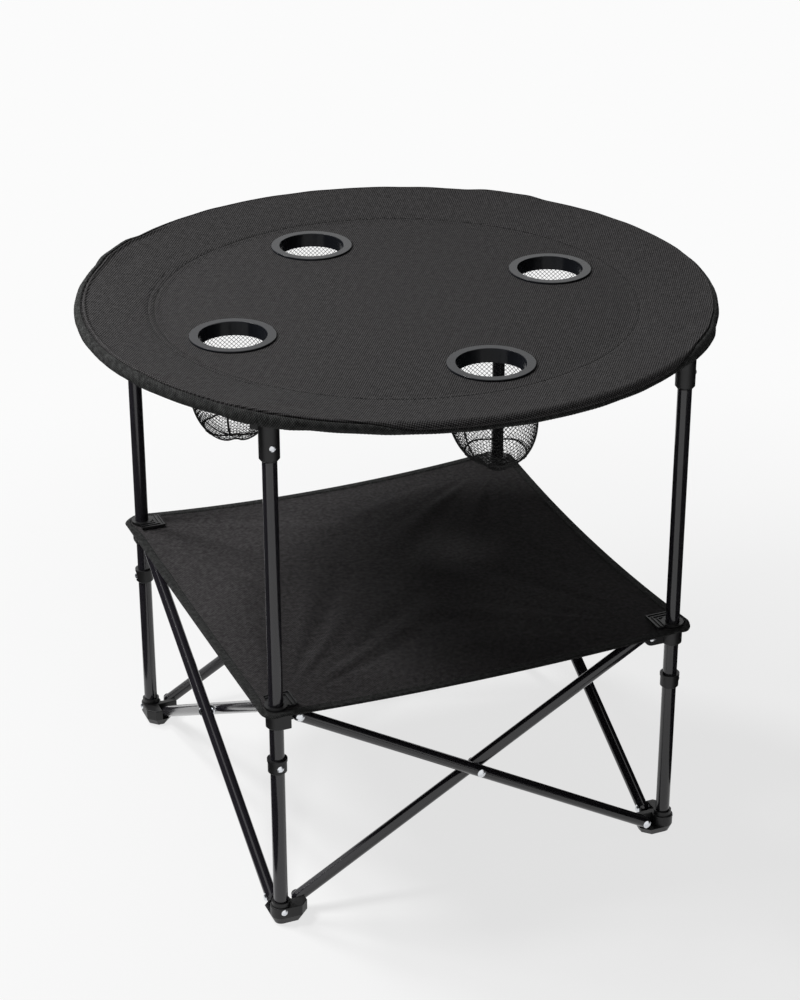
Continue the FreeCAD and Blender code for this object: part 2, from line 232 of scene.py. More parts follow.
def cornerPoint(i, height):
    angle = math.radians(225 + 90 * i)
    reach = table["half"] * math.sqrt(2)
    return (reach * math.cos(angle), reach * math.sin(angle), height)


def cupPlace(i):
    angle = math.radians(270 + table["cupTurn"] + 90 * i)
    return (table["cupCircle"] * math.cos(angle), table["cupCircle"] * math.sin(angle))


# gives a cloth piece a mesh of its own
def gather(piece):
    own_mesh(piece)


# node tools
def newMaterial(name):
    material = bpy.data.materials.new(name)
    material.use_nodes = True
    tree = material.node_tree
    return material, tree, tree.nodes["Principled BSDF"]


def addNode(tree, kind, **settings):
    node = tree.nodes.new(kind)
    for key, value in settings.items():
        setattr(node, key, value)
    return node


def math2(tree, operation, first, second=None):
    node = addNode(tree, "ShaderNodeMath", operation=operation)
    for index, value in enumerate([first, second]):
        if value is None:
            continue
        if isinstance(value, (int, float)):
            node.inputs[index].default_value = value
        else:
            tree.links.new(value, node.inputs[index])
    return node.outputs[0]


def newGroup(name, inputs, outputs):
    group = bpy.data.node_groups.new(name, "ShaderNodeTree")
    for label, kind, value in inputs:
        socket = group.interface.new_socket(label, in_out="INPUT", socket_type=kind)
        if value is not None:
            socket.default_value = value
    for label, kind in outputs:
        group.interface.new_socket(label, in_out="OUTPUT", socket_type=kind)
    start = group.nodes.new("NodeGroupInput")
    end = group.nodes.new("NodeGroupOutput")
    return group, start, end


# plain weave: yarns that go over and under each other, with painted shade darkening the hollows between them
def makeWeaveGroup():
    group, start, end = newGroup(
        "wovenYarns",
        [("Vector", "NodeSocketVector", None), ("Yarns", "NodeSocketFloat", 600.0),
         ("Slub", "NodeSocketFloat", 0.3), ("Contrast", "NodeSocketFloat", 2.5)],
        [("Height", "NodeSocketFloat"), ("Shade", "NodeSocketFloat")])
    scaled = addNode(group, "ShaderNodeVectorMath", operation="SCALE")
    group.links.new(start.outputs["Vector"], scaled.inputs[0])
    group.links.new(start.outputs["Yarns"], scaled.inputs["Scale"])
    parts = addNode(group, "ShaderNodeSeparateXYZ")
    group.links.new(scaled.outputs[0], parts.inputs[0])
    across, along = parts.outputs[0], parts.outputs[1]
    warp = math2(group, "ABSOLUTE", math2(group, "SINE", math2(group, "MULTIPLY", across, math.pi)))
    weft = math2(group, "ABSOLUTE", math2(group, "SINE", math2(group, "MULTIPLY", along, math.pi)))
    cells = math2(group, "ADD", math2(group, "FLOOR", across), math2(group, "FLOOR", along))
    over = math2(group, "FLOORED_MODULO", cells, 2.0)
    onTop = addNode(group, "ShaderNodeMix", data_type="FLOAT")
    group.links.new(over, onTop.inputs[0])
    group.links.new(warp, onTop.inputs[2])
    group.links.new(weft, onTop.inputs[3])
    bulge = math2(group, "MULTIPLY", math2(group, "MULTIPLY", warp, weft), 0.45)
    weave = math2(group, "ADD", math2(group, "MULTIPLY", onTop.outputs[0], 0.55), bulge)
    slubs = addNode(group, "ShaderNodeTexNoise")
    slubs.inputs["Scale"].default_value = 0.35
    slubs.inputs["Detail"].default_value = 3.0
    group.links.new(scaled.outputs[0], slubs.inputs["Vector"])
    uneven = math2(group, "MULTIPLY", math2(group, "SUBTRACT", slubs.outputs[0], 0.5), start.outputs["Slub"])
    group.links.new(math2(group, "ADD", weave, uneven), end.inputs["Height"])
    # Shade: painted shade, darker in the hollows between the yarns and lighter on their crowns, plus random
    # slub tone
    uneven = math2(group, "ADD", math2(group, "SUBTRACT", weave, 0.53), uneven)
    shade = math2(group, "ADD", math2(group, "MULTIPLY", uneven, start.outputs["Contrast"]), 1.0)
    group.links.new(math2(group, "MAXIMUM", shade, 0.1), end.inputs["Shade"])
    return group


# fine grain of moulded plastic and powder coat
def makeGrainGroup():
    group, start, end = newGroup(
        "fineGrain",
        [("Vector", "NodeSocketVector", None), ("Scale", "NodeSocketFloat", 900.0),
         ("Low", "NodeSocketFloat", 0.3), ("High", "NodeSocketFloat", 0.45)],
        [("Height", "NodeSocketFloat"), ("Roughness", "NodeSocketFloat"), ("Tone", "NodeSocketFloat")])
    fine = addNode(group, "ShaderNodeTexNoise")
    fine.inputs["Detail"].default_value = 4.0
    group.links.new(start.outputs["Vector"], fine.inputs["Vector"])
    group.links.new(start.outputs["Scale"], fine.inputs["Scale"])
    broad = addNode(group, "ShaderNodeTexNoise")
    broad.inputs["Scale"].default_value = 34.0
    broad.inputs["Detail"].default_value = 3.0
    group.links.new(start.outputs["Vector"], broad.inputs["Vector"])
    group.links.new(fine.outputs[0], end.inputs["Height"])
    both = math2(group, "ADD", math2(group, "MULTIPLY", fine.outputs[0], 0.4),
                 math2(group, "MULTIPLY", broad.outputs[0], 0.6))
    span = math2(group, "SUBTRACT", start.outputs["High"], start.outputs["Low"])
    rough = math2(group, "ADD", math2(group, "MULTIPLY", both, span), start.outputs["Low"])
    group.links.new(rough, end.inputs["Roughness"])
    tone = math2(group, "ADD", math2(group, "MULTIPLY", broad.outputs[0], 0.5), 0.75)
    group.links.new(tone, end.inputs["Tone"])
    return group


weaveGroup = makeWeaveGroup()
grainGroup = makeGrainGroup()


def useGroup(tree, group, **values):
    node = tree.nodes.new("ShaderNodeGroup")
    node.node_tree = group
    for key, value in values.items():
        node.inputs[key].default_value = value
    return node


# colour made lighter or darker by a value that changes over the surface
def tonedColour(tree, colour, tone):
    mix = addNode(tree, "ShaderNodeMix", data_type="RGBA", blend_type="MULTIPLY")
    mix.inputs[0].default_value = 1.0
    mix.inputs[6].default_value = (*colour, 1)
    tree.links.new(tone, mix.inputs[7])
    return mix.outputs[2]


def addBump(tree, shader, height, strength, distance):
    bump = addNode(tree, "ShaderNodeBump")
    bump.inputs["Strength"].default_value = strength
    bump.inputs["Distance"].default_value = distance
    tree.links.new(height, bump.inputs["Height"])
    tree.links.new(bump.outputs[0], shader.inputs["Normal"])


# contrast: how strongly the painted weave shade darkens the hollows between the yarns
clothLooks = {
    "canvas": {"colour": (0.0405, 0.039, 0.0394), "yarns": 430.0, "turn": 0.6, "slub": 0.5,
               "contrast": 3.4, "rough": 0.85, "bump": 0.8},
    "shelfCanvas": {"colour": (0.046, 0.0435, 0.0445), "yarns": 640.0, "turn": 0.0, "slub": 0.9,
                    "contrast": 2.4, "rough": 0.88, "bump": 0.6},
    "binding": {"colour": (0.029, 0.0295, 0.029), "yarns": 540.0, "turn": 0.785, "slub": 1.3,
                "contrast": 2.8, "rough": 0.75, "bump": 0.7},
}


def clothMaterial(name, fromUv):
    look = clothLooks[name]
    material, tree, shader = newMaterial(name)
    place = addNode(tree, "ShaderNodeTexCoord")
    turn = addNode(tree, "ShaderNodeMapping")
    turn.inputs["Rotation"].default_value = (0, 0, look["turn"])
    tree.links.new(place.outputs["UV" if fromUv else "Object"], turn.inputs["Vector"])
    weave = useGroup(tree, weaveGroup, Yarns=look["yarns"], Slub=look["slub"], Contrast=look["contrast"])
    tree.links.new(turn.outputs[0], weave.inputs["Vector"])
    tree.links.new(tonedColour(tree, look["colour"], weave.outputs["Shade"]), shader.inputs["Base Color"])
    shader.inputs["Roughness"].default_value = look["rough"]
    shader.inputs["Specular IOR Level"].default_value = 0.1
    addBump(tree, shader, weave.outputs["Height"], look["bump"], distance=0.0008)
    return material


hardLooks = {
    "tubeCoat": {"colour": (0.0165, 0.0152, 0.0195), "low": 0.12, "high": 0.18, "scale": 700.0,
                 "bump": 0.012, "depth": 0.0004, "specular": 0.5, "coat": 0.3, "metallic": 0.0},
    "moulding": {"colour": (0.012, 0.012, 0.0125), "low": 0.34, "high": 0.50, "scale": 1100.0,
                 "bump": 0.16, "depth": 0.0004, "specular": 0.4, "coat": 0.0, "metallic": 0.0},
    "cupPlastic": {"colour": (0.010, 0.011, 0.014), "low": 0.16, "high": 0.26, "scale": 900.0,
                   "bump": 0.05, "depth": 0.0004, "specular": 0.17, "coat": 0.1, "metallic": 0.0},
    "netThread": {"colour": (0.007, 0.007, 0.007), "low": 0.5, "high": 0.7, "scale": 1500.0,
                  "bump": 0.1, "depth": 0.0004, "specular": 0.3, "coat": 0.0, "metallic": 0.0},
    "seamThread": {"colour": (0.008, 0.008, 0.008), "low": 0.55, "high": 0.75, "scale": 2500.0,
                   "bump": 0.3, "depth": 0.0004, "specular": 0.3, "coat": 0.0, "metallic": 0.0},
    "rimSteel": {"colour": (0.05, 0.05, 0.05), "low": 0.3, "high": 0.45, "scale": 600.0,
                 "bump": 0.1, "depth": 0.0004, "specular": 0.5, "coat": 0.0, "metallic": 0.0},
    "brightZinc": {"colour": (0.78, 0.80, 0.83), "low": 0.16, "high": 0.38, "scale": 420.0,
                   "bump": 0.12, "depth": 0.0003, "specular": 0.5, "coat": 0.0, "metallic": 1.0},
}


def hardMaterial(name):
    look = hardLooks[name]
    material, tree, shader = newMaterial(name)
    place = addNode(tree, "ShaderNodeTexCoord")
    grain = useGroup(tree, grainGroup, Scale=look["scale"], Low=look["low"], High=look["high"])
    tree.links.new(place.outputs["Object"], grain.inputs["Vector"])
    tree.links.new(tonedColour(tree, look["colour"], grain.outputs["Tone"]), shader.inputs["Base Color"])
    tree.links.new(grain.outputs["Roughness"], shader.inputs["Roughness"])
    shader.inputs["Specular IOR Level"].default_value = look["specular"]
    shader.inputs["Coat Weight"].default_value = look["coat"]
    shader.inputs["Coat Roughness"].default_value = 0.12
    shader.inputs["Metallic"].default_value = look["metallic"]
    addBump(tree, shader, grain.outputs["Height"], look["bump"], look["depth"])
    return material


canvas = clothMaterial("canvas", True)
shelfCanvas = clothMaterial("shelfCanvas", False)
binding = clothMaterial("binding", True)
tubeCoat = hardMaterial("tubeCoat")
moulding = hardMaterial("moulding")
cupPlastic = hardMaterial("cupPlastic")
netThread = hardMaterial("netThread")
seamThread = hardMaterial("seamThread")
rimSteel = hardMaterial("rimSteel")
brightZinc = hardMaterial("brightZinc")
print("materials made")


# CAD pieces keep their shape and get their finish
cadFinish = {
    "_leg_tube": tubeCoat, "_inner_bar": tubeCoat, "_outer_bar": tubeCoat,
    "_foot": moulding, "_hub": moulding, "_stop_collar": moulding, "_bracket": moulding,
    "_leg_screws": brightZinc, "_inner_rivets": brightZinc, "_outer_rivets": brightZinc,
    "_cup_ring": cupPlastic,
}
for nodeName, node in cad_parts.items():
    for ending, finish in cadFinish.items():
        if nodeName.endswith(ending):
            node.data.materials.clear()
            node.data.materials.append(finish)
print("CAD pieces finished")


# cloth top: dished panel that rolls over the rim rod, and a tape that closes the roll
top = {
    "columns": 150, "wall": 0.0011,
    "rings": ((0, 0.155, 16), (0.155, 0.25, 34), (0.25, 0.29, 25)),  # rows of the flat, as radii and count
    "reaches": ((0, 0.82, 12), (0.82, 1, 14)),  # rows of the slope, as shares of the way to the roll
    "slope": 8.5,  # where the cloth meets the roll, degrees
    "hole": 0.0415,  # for the cup ring
    "ripple": 0.0005, "rippleFrom": (0.24, 0.30), "wave": (0.00015, 0.0001),
    "roll": 0.0068, "rollRows": 16, "ridge": 0.0011, "tuck": 0.0017,
    "hubSwell": 0.0017, "hubShift": 0.0017, "hubSpan": (4.0, 9.0),
    "hubDent": 0.0017, "dentCircle": 0.325, "dentWidth": 0.011, "dentSpan": 3.6, "dentAside": 4,
    "seams": ((0.2700, 0, 360), (0.2768, 140, 215)),  # radius and the angles it runs between
    "seamDip": 0.0008, "seamWidth": 0.0015, "stitchStep": 0.0042,
    "tapeAlong": (0, 116, 126, 200, 226, 243, 251, 302, 311, 360),  # degrees along the rim
    "tapeTurn": (72, 72, 93, 93, 58, 52, -18, -18, 72, 72),  # its upper edge there, degrees round the roll
    "tapeGrid": (300, 26), "tapeEnd": -225.0, "tapeOverlap": 4,
    "tapeWall": 0.0007, "tapeLift": 0.0009, "tapeDip": 0.0019, "tapePull": 0.0014,
    "pucker": 0.00016, "puckerStep": 0.0042,
    "piping": 0.0019, "pipingTurn": (72, 93), "pipingInset": 0.0030, "pipingWidth": 0.0017,
    "rodGrid": (90, 10), "rodSize": 0.004, "rodGap": 0.003,
    "turnOver": 0.012,  # cloth of the flat sheet that goes over the rim
}


def nearHub(angle):
    return np.abs((angle - 225 + 45) % 90 - 45)


def hubShare(angle):
    return 1 - smoothStep(nearHub(angle), *top["hubSpan"])


# the tape starts on top of the roll, further in on the left and low along most of the front
def tapeStart(angle):
    return np.interp(angle % 360, top["tapeAlong"], top["tapeTurn"])


def rollRadius(angle):
    turn = np.radians(angle)
    wave = top["wave"][0] * np.sin(turn * 31) + top["wave"][1] * np.sin(turn * 47 + 1)
    return top["roll"] + top["hubSwell"] * hubShare(angle) + wave


def rollMiddle(angle):
    return table["rodCircle"] + top["hubShift"] * hubShare(angle)


def seamShare(angle, first, last):
    turn = angle % 360
    return smoothStep(turn, first - 4, first) * (1 - smoothStep(turn, last, last + 4))


# height of the panel's upper face
def panelHeight(radius, angle):
    turn = np.radians(angle)
    slope = math.radians(top["slope"])
    edge = rollMiddle(angle) - rollRadius(angle) * math.sin(slope)
    rim = table["rodHeight"] + rollRadius(angle) * math.cos(slope)
    share = np.clip((radius - table["dishRadius"]) / (edge - table["dishRadius"]), 0, 1)
    height = table["flatTop"] + (rim - table["flatTop"]) * share ** 0.95
    ease = smoothStep(radius, *top["rippleFrom"]) * (1 - smoothStep(share, 0.8, 1.0))
    height = height + top["ripple"] * ease * (np.sin(5 * turn + 0.7) + 0.6 * np.sin(11 * turn + 2.1))
    dent = np.exp(-(nearHub(angle - top["dentAside"]) / top["dentSpan"]) ** 2)
    dent = dent * np.exp(-((radius - top["dentCircle"]) / top["dentWidth"]) ** 2)
    height = height - top["hubDent"] * dent
    pipe = np.exp(-((radius - edge + top["pipingInset"]) / top["pipingWidth"]) ** 2)
    height = height + top["piping"] * pipe * smoothStep(tapeStart(angle), *top["pipingTurn"])
    for seam, first, last in top["seams"]:
        groove = np.exp(-((radius - seam) / top["seamWidth"]) ** 2)
        height = height - top["seamDip"] * groove * seamShare(angle, first, last)
    return height


def rollPoint(angle, turn, radius):
    turn = np.radians(turn)
    reach = rollMiddle(angle) + radius * np.cos(turn)
    return polar(reach, np.radians(angle), table["rodHeight"] + radius * np.sin(turn))


# rows in spans of different spacing, each span given as first, last and count
def spacedRows(spans):
    rows = [np.linspace(first, last, count + 1)[:-1] for first, last, count in spans]
    return np.concatenate(rows + [[spans[-1][1]]])


def topPanel(i):
    rings, reaches = spacedRows(top["rings"]), spacedRows(top["reaches"])
    flatRings, slopeRings, rollRings = len(rings) - 1, len(reaches) - 1, top["rollRows"]
    rows = flatRings + slopeRings + rollRings
    piece = addGrid(sides[i] + "_top_panel", top["columns"], rows)
    across, along = gridShares(piece)
    angle = 225 + 90 * i + 90 * across
    row = np.rint(along * rows).astype(int)
    slope = math.radians(top["slope"])
    size = rollRadius(angle)
    edge = rollMiddle(angle) - size * math.sin(slope)
    outward = rings[-1] + (edge - rings[-1]) * reaches[np.clip(row - flatRings, 0, slopeRings)]
    radius = np.where(row < flatRings, rings[np.minimum(row, flatRings)], outward)
    spin = np.radians(angle)
    coords = polar(radius, spin, panelHeight(radius, angle))
    over = np.clip((row - flatRings - slopeRings) / rollRings, 0, 1)
    start = 90 + top["slope"]
    stop = tapeStart(angle)
    high = smoothStep(stop, -10, 60)
    turn = start + (stop - start) * over
    ridge = top["ridge"] * high * np.exp(-((over - 0.6) / 0.22) ** 2) * smoothStep(over, 0, 0.4)
    tuck = top["tuck"] * smoothStep(over, 0.72, 1.0)
    rolled = rollPoint(angle, turn, size + ridge - tuck)
    onRoll = row > flatRings + slopeRings
    coords[onRoll] = rolled[onRoll]
    writeCoords(piece, coords)
    flat = radius + size * np.radians(start - turn)
    writeUv(piece, flat * np.cos(spin), flat * np.sin(spin))
    mergeDoubles(piece)
    cutRound(piece, cupPlace(i), top["hole"])
    faceUp(piece)
    thicken(piece, top["wall"])
    dress(piece, canvas, sides[i] + "_top")
    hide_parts(sides[i] + "_top_cloth")
    gather(piece)
    return piece


def rimTape(i):
    piece = addGrid(sides[i] + "_rim_tape", *top["tapeGrid"])
    across, along = gridShares(piece)
    angle = 225 + 90 * i + 90 * across
    start = tapeStart(angle) + top["tapeOverlap"]
    turn = start + (top["tapeEnd"] - start) * along
    gone = start - turn
    size = rollRadius(angle) + top["tapeLift"] * (1 - np.exp(-gone / 14))
    size = size - top["tapeDip"] * np.exp(-(gone / 9) ** 2)
    size = size - top["tapePull"] * smoothStep(turn, -170, top["tapeEnd"])
    run = np.radians(angle) * table["rodCircle"]
    pucker = np.sin(run * 2 * math.pi / top["puckerStep"] + 2 * np.sin(run * 60))
    size = size + top["pucker"] * pucker * smoothStep(gone, 6, 30)
    writeCoords(piece, rollPoint(angle, turn, size))
    writeUv(piece, run, np.radians(gone) * top["roll"])
    flipFaces(piece)
    thicken(piece, top["tapeWall"])
    dress(piece, binding, sides[i] + "_top")
    gather(piece)
    return piece


def rimRod(i):
    piece = addGrid(sides[i] + "_rim_spring", *top["rodGrid"])
    across, along = gridShares(piece)
    gap = math.degrees(top["rodGap"] / table["rodCircle"])
    angle = 225 + 90 * i + gap + (90 - 2 * gap) * across
    wrap = 2 * math.pi * along
    reach = table["rodCircle"] + top["rodSize"] * np.cos(wrap)
    writeCoords(piece, polar(reach, np.radians(angle), table["rodHeight"] + top["rodSize"] * np.sin(wrap)))
    mergeDoubles(piece)
    editAll(piece, bpy.ops.mesh.fill_holes, sides=0)
    faceOutwards(piece)
    dress(piece, rimSteel, sides[i] + "_top", 40)
    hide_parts(sides[i] + "_rim_rod")
    gather(piece)


# one rounded stitch, copied along a line of places and headings
def stitchRun(name, places, headings, length, width, lift):
    deselectAll()
    bpy.ops.mesh.primitive_uv_sphere_add(segments=6, ring_count=4, radius=0.5)
    piece = bpy.context.object
    piece.name = name
    piece.data.name = name
    shape = readCoords(piece) * np.array([length, width, width * 0.7])
    faces = sorted(tuple(f.vertices) for f in piece.data.polygons)  # in the same order on each run
    coords, allFaces = [], []
    for place, heading in zip(places, headings):
        c, s = math.cos(heading), math.sin(heading)
        base = len(coords) * len(shape)
        x, y = shape[:, 0] * c - shape[:, 1] * s, shape[:, 0] * s + shape[:, 1] * c
        coords.append(np.stack([x, y, shape[:, 2] + lift], 1) + place)
        allFaces += [tuple(base + k for k in f) for f in faces]
    piece.data.clear_geometry()
    piece.data.from_pydata(np.concatenate(coords).tolist(), [], allFaces)
    piece.data.update()
    return piece


def topSeams(i):
    places, headings = [], []
    for seam, first, last in top["seams"]:
        count = int(math.pi / 2 * seam / top["stitchStep"])
        turns = 225 + 90 * i + 90 * (np.arange(count) + 0.5) / count
        for turn in turns:
            if not first <= turn % 360 <= last:
                continue
            spin = math.radians(turn)
            height = float(panelHeight(np.array([seam]), np.array([turn]))[0])
            places.append((seam * math.cos(spin), seam * math.sin(spin), height))
            headings.append(spin + math.pi / 2)
    piece = stitchRun(sides[i] + "_top_seams", places, headings, length=0.0034, width=0.0008, lift=0.0005)
    dress(piece, seamThread, sides[i] + "_top", 180)
    gather(piece)
    return piece


for i in range(4):
    panel = topPanel(i)
    tape = rimTape(i)
    rimRod(i)
    seams = topSeams(i)
print("cloth top made")


# cloth shelf: four triangles that meet at the middle, hung from the brackets
shelf = {
    "margin": 0.020, "bow": 0.004, "wall": 0.0014, "columns": 150, "rows": 64,
    "edgeSag": 0.009, "middleSag": 0.004, "droop": 0.003, "slack": 0.0012,
    "fold": 0.0012, "pull": (1.0, 0.6, 0.8, 0.6),  # folds, and their strength at each corner
    "panelShare": 0.9975,  # the panel ends just inside its tape
    "tapeGrid": (260, 24), "tape": 0.0105, "cornerTape": 0.0066, "tapeWall": 0.0010, "tapeEdge": 0.0009,
    "tapeInner": 0.0014, "tapeLength": 0.026, "pucker": 0.00012, "puckerStep": 0.0036,
    "stitchLine": 0.51, "stitchStep": 0.0044, "stitchAcross": 0.8,  # the last as a share of the tape's width
    "hole": 0.0106, "hinge": 0.2741,  # hole for the leg, height that the sectors turn about
}


# outline on the front side, from one corner's tip to the next, at even steps
def shelfOutline(count):
    half, margin = table["half"], shelf["margin"]
    bend = np.radians(np.linspace(225, 270, 40))
    first = np.stack([-half + margin * np.cos(bend), -half + margin * np.sin(bend)], 1)
    run = np.linspace(-half, half, 400)[1:-1]
    edge = np.stack([run, -half - margin + shelf["bow"] * (1 - (run / half) ** 2)], 1)
    last = first[::-1] * np.array([-1, 1])
    line = np.concatenate([first, edge, last])
    steps = np.concatenate([[0], np.cumsum(np.linalg.norm(np.diff(line, axis=0), axis=1))])
    even = np.linspace(0, steps[-1], count)
    return np.stack([np.interp(even, steps, line[:, 0]), np.interp(even, steps, line[:, 1])], 1), even


def shelfHeight(x, y):
    reach = table["half"]
    a, b = np.clip(np.abs(x) / reach, 0, 1), np.clip(np.abs(y) / reach, 0, 1)
    openA, openB = 1 - a ** 2, 1 - b ** 2
    sag = shelf["edgeSag"] * (openA * b ** 4 + openB * a ** 4) + shelf["middleSag"] * openA * openB
    out = (np.abs(x) + np.abs(y) - 2 * reach) / math.sqrt(2)
    droop = shelf["droop"] * smoothStep(out, 0.0125, 0.024)
    folds = 0
    for i, strength in enumerate(shelf["pull"]):  # folds fan out from each corner
        cornerX, cornerY = cornerPoint(i, 0)[:2]
        away = np.hypot(x - cornerX, y - cornerY)
        turn = np.arctan2(y - cornerY, x - cornerX) - math.radians(45 + 90 * i)
        turn = (turn + math.pi) % (2 * math.pi) - math.pi
        fan = np.sin(22 * turn + 5 * away + 2 * i) + 0.7 * np.sin(37 * turn - 8 * away + i)
        inside = 1 - smoothStep(np.abs(turn), 0.35, 0.72)
        reached = smoothStep(away, 0.04, 0.13) * (1 - smoothStep(away, 0.2, 0.4))
        folds = folds + strength * fan * inside * reached
    slack = 0.6 * np.sin(26 * x - 17 * y + 1.5 * np.sin(12 * y))
    slack = slack + 0.4 * np.sin(15 * x + 31 * y + 2 * np.sin(9 * x))
    return table["shelfTop"] - sag - droop + shelf["fold"] * folds + shelf["slack"] * slack * openA * openB


def shelfPanel(i):
    columns, rows = shelf["columns"], shelf["rows"]
    piece = addGrid(sides[i] + "_shelf_panel", columns, rows)
    across, along = gridShares(piece)
    line = shelfOutline(columns + 1)[0]
    column = np.rint(across * columns).astype(int)
    flat = line[column] * (along * shelf["panelShare"])[:, None]
    coords = turnTo(np.stack([flat[:, 0], flat[:, 1], 0 * along], 1), i)
    coords[:, 2] = shelfHeight(coords[:, 0], coords[:, 1])
    writeCoords(piece, coords)
    mergeDoubles(piece)
    for k in (i, (i + 1) % 4):
        cutRound(piece, cornerPoint(k, 0)[:2], shelf["hole"])
    faceUp(piece)
    thicken(piece, shelf["wall"])
    dress(piece, shelfCanvas, sides[i] + "_shelf")
    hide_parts(sides[i] + "_shelf_cloth")
    gather(piece)
    return piece


# inward direction at each point of the outline
def inwardFrom(line):
    along = np.gradient(line, axis=0)
    along /= np.linalg.norm(along, axis=1)[:, None]
    inward = np.stack([-along[:, 1], along[:, 0]], 1)
    inward[0] = (math.sqrt(0.5), math.sqrt(0.5))
    inward[-1] = (-math.sqrt(0.5), math.sqrt(0.5))
    return inward


def tapeWidth(line):
    near = np.abs(np.abs(line[:, 0]) - table["half"])
    outside = np.abs(line[:, 0]) > table["half"]
    wide = smoothStep(near, 0.0, 0.03) * ~outside
    return shelf["cornerTape"] + (shelf["tape"] - shelf["cornerTape"]) * wide


def shelfTape(i):
    columns, rows = shelf["tapeGrid"]
    piece = addGrid(sides[i] + "_shelf_tape", columns, rows)
    across, along = gridShares(piece)
    line, run = shelfOutline(columns + 1)
    inward, width = inwardFrom(line), tapeWidth(line)
    column = np.rint(across * columns).astype(int)
    lift, under = shelf["tapeWall"], shelf["wall"] + shelf["tapeWall"]
    middle, bend = (lift - under) / 2, (lift + under) / 2
    inner = shelf["tapeInner"]
    onTop, below = np.clip(along / 0.4, 0, 1), np.clip((along - 0.6) / 0.4, 0, 1)
    wrap = math.pi * np.clip((along - 0.4) / 0.2, 0, 1)
    depth = width[column] + (inner - width[column]) * onTop
    depth = np.where(along > 0.4, inner - bend * np.sin(wrap), depth)
    depth = np.where(along > 0.6, inner + (width[column] - inner) * below, depth)
    rise = middle + bend * np.cos(wrap)
    upper, lower = 1 - smoothStep(along, 0.0, 0.05), smoothStep(along, 0.95, 1.0)
    edge = shelf["tapeEdge"] * upper - shelf["tapeEdge"] * lower
    pucker = np.sin(run[column] * 2 * math.pi / shelf["puckerStep"]) * np.sin(along * math.pi) ** 2
    flat = line[column] + inward[column] * depth[:, None]
    coords = turnTo(np.stack([flat[:, 0], flat[:, 1], 0 * along], 1), i)
    coords[:, 2] = shelfHeight(coords[:, 0], coords[:, 1]) + rise - edge + shelf["pucker"] * pucker
    writeCoords(piece, coords)
    writeUv(piece, run[column], along * shelf["tapeLength"])
    faceUp(piece, columns * 4)
    dress(piece, binding, sides[i] + "_shelf", 70)
    gather(piece)
    return piece


def shelfStitches(i):
    count = int(shelf["stitchLine"] / shelf["stitchStep"])
    line, run = shelfOutline(count + 1)
    inward, width = inwardFrom(line), tapeWidth(line)
    flat = line + inward * (width * shelf["stitchAcross"])[:, None]
    along = np.gradient(flat, axis=0)
    spots = turnTo(np.stack([flat[:, 0], flat[:, 1], 0 * run], 1), i)
    spots[:, 2] = shelfHeight(spots[:, 0], spots[:, 1]) + shelf["tapeWall"]
    headings = np.arctan2(along[:, 1], along[:, 0]) + math.pi / 2 * i
    piece = stitchRun(sides[i] + "_shelf_stitches", spots[1:-1], headings[1:-1],
                      length=0.0034, width=0.0007, lift=0.0001)
    dress(piece, seamThread, sides[i] + "_shelf", 180)
    gather(piece)
    return piece


for i in range(4):
    panel = shelfPanel(i)
    tape = shelfTape(i)
    stitches = shelfStitches(i)
print("cloth shelf made")


# net pockets under the cup rings: a side net, a round bottom net and the tapes that join them
pocket = {
    "hem": 0.0460, "belly": 0.0490, "top": 0.6104, "straight": 0.5530, "bottom": 0.4945, "seam": 0.0345,
    "columns": 58, "rows": 20, "cell": 0.0050, "thread": 0.00078, "cord": 0.0009,
    "netTurn": 0.5, "netOver": 0.0005,
    "ring": 0.0402, "hemDrop": 0.0005, "hemDepth": 0.014, "hemWall": 0.0006, "hemEase": 0.0008,
    "hemGrid": (72, 10), "seamGrid": (90, 6), "sideGrid": (6, 48),
    "sideSeam": (205, 12),  # heading on the front pocket and step to the next, degrees
    "lean": [(0.007, -0.003), (0.001, 0.002), (-0.002, 0.001), (-0.001, -0.002)],
    "dents": (0.03, 0.035, 0.02), "bob": 0.0015,
}


def pocketHeight(radius):
    share = np.clip(radius / pocket["belly"], 0, 1)
    return pocket["straight"] - (pocket["straight"] - pocket["bottom"]) * np.sqrt(1 - share ** 2)


# net lattice: each square gets a middle point, and its old sides go
def makeLattice(piece):
    first = len(piece.data.vertices)
    editAll(piece, bpy.ops.mesh.poke)
    mesh = piece.data
    ends, uses = edgeUses(mesh)
    old = (ends < first).all(1) & (uses == 2)
    mesh.vertices.foreach_set("select", np.zeros(len(mesh.vertices), bool))
    mesh.polygons.foreach_set("select", np.zeros(len(mesh.polygons), bool))
    mesh.edges.foreach_set("select", old)
    bpy.ops.object.mode_set(mode="EDIT")
    bpy.ops.mesh.select_mode(type="EDGE")
    bpy.ops.mesh.dissolve_edges(use_verts=False)
    bpy.ops.object.mode_set(mode="OBJECT")


# a bag isn't quite round: it leans and dents a little, differently on each side
def slump(coords, i):
    moved = coords.copy()
    turn = np.arctan2(coords[:, 1], coords[:, 0])
    deep = smoothStep(-coords[:, 2], -pocket["top"] + 0.01, -pocket["bottom"])
    three, two, narrow = pocket["dents"]
    dent = 1 + deep * (three * np.sin(3 * turn + 1.3 * i) - two * np.cos(2 * turn + 0.8 * i) - narrow)
    lean = pocket["lean"][i]
    moved[:, 0] = coords[:, 0] * dent + deep * lean[0]
    moved[:, 1] = coords[:, 1] * dent + deep * lean[1]
    moved[:, 2] = coords[:, 2] + pocket["bob"] * deep * np.sin(4 * turn + i)
    moved[:, :2] += cupPlace(i)
    return moved


# side wall's line from the hem down to the bottom seam, by length
def wallLine():
    low = np.linspace(pocket["belly"], pocket["seam"], 60)
    swell = smoothStep(np.linspace(0, 1, 41)[:-1], 0.05, 0.8)
    radii = np.concatenate([pocket["hem"] + (pocket["belly"] - pocket["hem"]) * swell, low])
    heights = np.concatenate([np.linspace(pocket["top"], pocket["straight"], 41)[:-1], pocketHeight(low)])
    steps = np.concatenate([[0], np.cumsum(np.hypot(np.diff(radii), np.diff(heights)))])
    return radii, heights, steps


